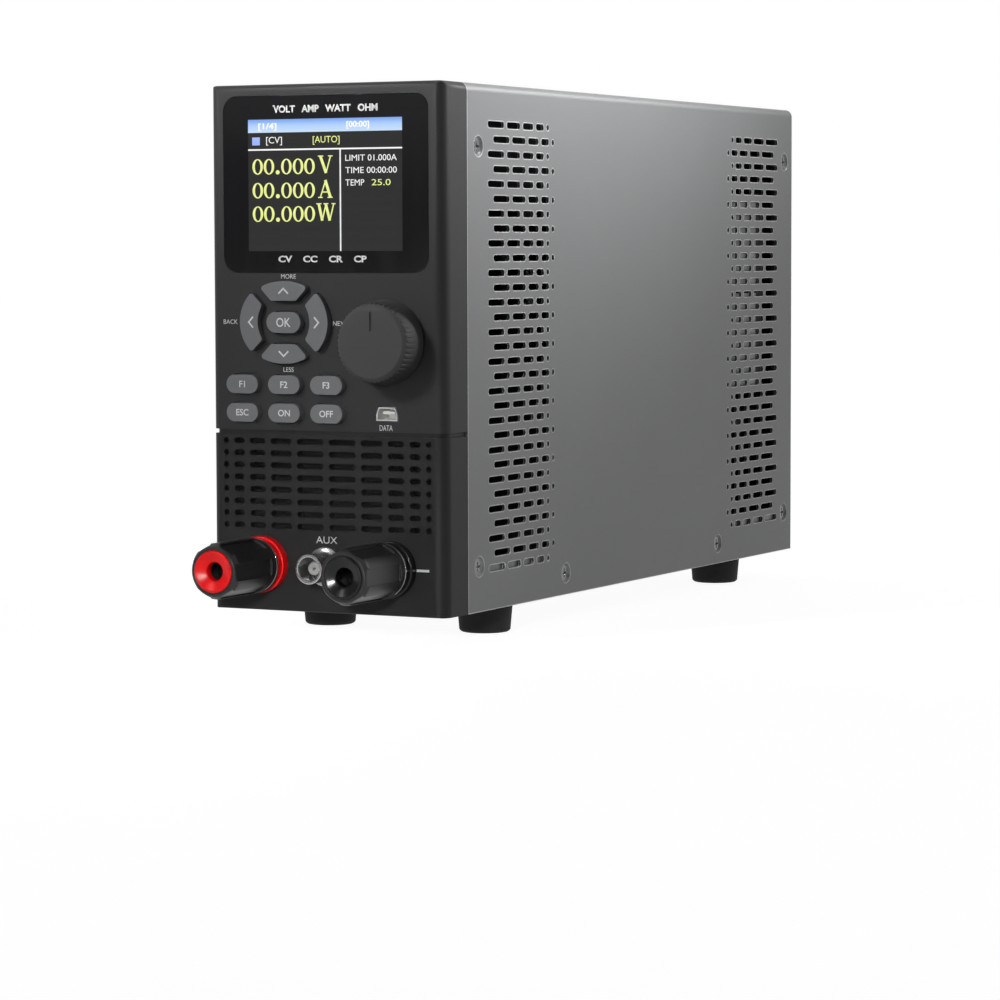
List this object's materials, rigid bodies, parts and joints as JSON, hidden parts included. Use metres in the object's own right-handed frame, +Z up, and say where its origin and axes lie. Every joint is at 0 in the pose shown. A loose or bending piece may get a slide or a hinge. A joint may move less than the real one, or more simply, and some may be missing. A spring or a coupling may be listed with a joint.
{
  "type": "dc electronic load",
  "caption": "Slim upright bench electronic load with a colour display, cursor keys and function keys, a turning knob, screw terminals in front and vented metal sides.",
  "frame": {"origin": "middle of the part's box, on the surface under its feet", "axes": "+Z up, -Y out of the front with the display, +X to the right seen from the front"},
  "size_m": [0.088, 0.3332, 0.1834],
  "materials": {
    "cover_paint": "satin",
    "panel_paint": "satin",
    "galvanised_steel": "satin",
    "bezel_plastic": "fine texture",
    "key_plastic": "satin",
    "knob_plastic": "satin",
    "lens_acrylic": "gloss",
    "display_glass": "gloss",
    "circuit_board": "satin",
    "foot_rubber": "matte",
    "filter_foam": "foam",
    "screw_steel": "bright",
    "nickel": "polished",
    "red_plastic": "gloss",
    "black_plastic": "gloss",
    "grip_plastic": "satin",
    "white_plastic": "matte",
    "brass": "satin",
    "heatsink_aluminium": "extruded",
    "core_steel": "varnished",
    "component_black": "matte"
  },
  "bodies": {
    "case": {"top_cover": "cover_paint", "base_tray": "galvanised_steel", "rear_panel": "panel_paint", "cover_screws": "screw_steel", "chassis_screws": "screw_steel", "dust_filter": "filter_foam", "front_bezel": "bezel_plastic", "terminal_panel": "bezel_plastic", "display_lens": "lens_acrylic", "display_module": "display_glass", "control_board": "circuit_board", "encoder_body": "nickel", "usb_socket": "nickel", "bnc_shell": "nickel", "bnc_insulator": "white_plastic", "bnc_contact": "brass", "panel_nuts": "nickel", "heatsink_halves": "heatsink_aluminium", "tunnel_brackets": "galvanised_steel", "main_board": "circuit_board", "power_board": "circuit_board", "board_spacers": "brass", "power_transistors": "component_black", "power_capacitors": "component_black", "transformer": "core_steel", "fan_frame": "component_black", "fan_guard": "screw_steel", "inlet_housing": "component_black", "inlet_pins": "nickel", "switch_housing": "component_black", "foot_front_left": "foot_rubber", "foot_front_right": "foot_rubber", "foot_rear_left": "foot_rubber", "foot_rear_right": "foot_rubber", "red_collar": "red_plastic", "red_stud": "nickel", "black_collar": "black_plastic", "black_stud": "nickel"},
    "key_up": {"key_up": "key_plastic"},
    "key_down": {"key_down": "key_plastic"},
    "key_left": {"key_left": "key_plastic"},
    "key_right": {"key_right": "key_plastic"},
    "key_ok": {"key_ok": "key_plastic"},
    "key_f1": {"key_f1": "key_plastic"},
    "key_f2": {"key_f2": "key_plastic"},
    "key_f3": {"key_f3": "key_plastic"},
    "key_f4": {"key_f4": "key_plastic"},
    "key_f5": {"key_f5": "key_plastic"},
    "key_f6": {"key_f6": "key_plastic"},
    "knob": {"encoder_shaft": "screw_steel", "control_knob": "knob_plastic"},
    "red_clamp": {"red_washer": "nickel"},
    "red_nut": {"red_thumb_nut": "grip_plastic", "red_end_cap": "red_plastic"},
    "black_clamp": {"black_washer": "nickel"},
    "black_nut": {"black_thumb_nut": "grip_plastic", "black_end_cap": "black_plastic"},
    "fan": {"fan_rotor": "component_black"},
    "drawer": {"fuse_drawer": "component_black"},
    "rocker": {"rocker_switch": "black_plastic"}
  },
  "joints": [
    {"name": "key_up_press", "type": "slide", "parent": "case", "child": "key_up", "axis": [0, 1, 0], "range_m": [0, 0.0008], "stiffness_N_per_m": 800},
    {"name": "key_down_press", "type": "slide", "parent": "case", "child": "key_down", "axis": [0, 1, 0], "range_m": [0, 0.0008], "stiffness_N_per_m": 800},
    {"name": "key_left_press", "type": "slide", "parent": "case", "child": "key_left", "axis": [0, 1, 0], "range_m": [0, 0.0008], "stiffness_N_per_m": 800},
    {"name": "key_right_press", "type": "slide", "parent": "case", "child": "key_right", "axis": [0, 1, 0], "range_m": [0, 0.0008], "stiffness_N_per_m": 800},
    {"name": "key_ok_press", "type": "slide", "parent": "case", "child": "key_ok", "axis": [0, 1, 0], "range_m": [0, 0.0008], "stiffness_N_per_m": 800},
    {"name": "key_f1_press", "type": "slide", "parent": "case", "child": "key_f1", "axis": [0, 1, 0], "range_m": [0, 0.0008], "stiffness_N_per_m": 800},
    {"name": "key_f2_press", "type": "slide", "parent": "case", "child": "key_f2", "axis": [0, 1, 0], "range_m": [0, 0.0008], "stiffness_N_per_m": 800},
    {"name": "key_f3_press", "type": "slide", "parent": "case", "child": "key_f3", "axis": [0, 1, 0], "range_m": [0, 0.0008], "stiffness_N_per_m": 800},
    {"name": "key_f4_press", "type": "slide", "parent": "case", "child": "key_f4", "axis": [0, 1, 0], "range_m": [0, 0.0008], "stiffness_N_per_m": 800},
    {"name": "key_f5_press", "type": "slide", "parent": "case", "child": "key_f5", "axis": [0, 1, 0], "range_m": [0, 0.0008], "stiffness_N_per_m": 800},
    {"name": "key_f6_press", "type": "slide", "parent": "case", "child": "key_f6", "axis": [0, 1, 0], "range_m": [0, 0.0008], "stiffness_N_per_m": 800},
    {"name": "knob_turn", "type": "hinge", "parent": "case", "child": "knob", "pos_m": [0.0228, -0.1386, 0.0992], "axis": [0, -1, 0], "continuous": true},
    {"name": "red_clamp_slide", "type": "slide", "parent": "case", "child": "red_clamp", "axis": [0, -1, 0], "range_m": [0, 0.004]},
    {"name": "red_nut_turn", "type": "hinge", "parent": "red_clamp", "child": "red_nut", "pos_m": [-0.024, -0.1536, 0.0254], "axis": [0, -1, 0], "range_deg": [0, 1815]},
    {"name": "black_clamp_slide", "type": "slide", "parent": "case", "child": "black_clamp", "axis": [0, -1, 0], "range_m": [0, 0.004]},
    {"name": "black_nut_turn", "type": "hinge", "parent": "black_clamp", "child": "black_nut", "pos_m": [0.024, -0.1536, 0.0254], "axis": [0, -1, 0], "range_deg": [0, 1815]},
    {"name": "fan_spin", "type": "hinge", "parent": "case", "child": "fan", "pos_m": [0, 0.1464, 0.1124], "axis": [0, 1, 0], "continuous": true},
    {"name": "drawer_slide", "type": "slide", "parent": "case", "child": "drawer", "axis": [0, 1, 0], "range_m": [0, 0.014]},
    {"name": "rocker_tilt", "type": "hinge", "parent": "case", "child": "rocker", "pos_m": [0.027, 0.1631, 0.042], "axis": [1, 0, 0], "range_deg": [-20, 0]}
  ],
  "couplings": [
    {"joint": "red_nut_turn", "follows": "red_clamp_slide", "rad_per_m": 7854},
    {"joint": "black_nut_turn", "follows": "black_clamp_slide", "rad_per_m": 7854}
  ]
}
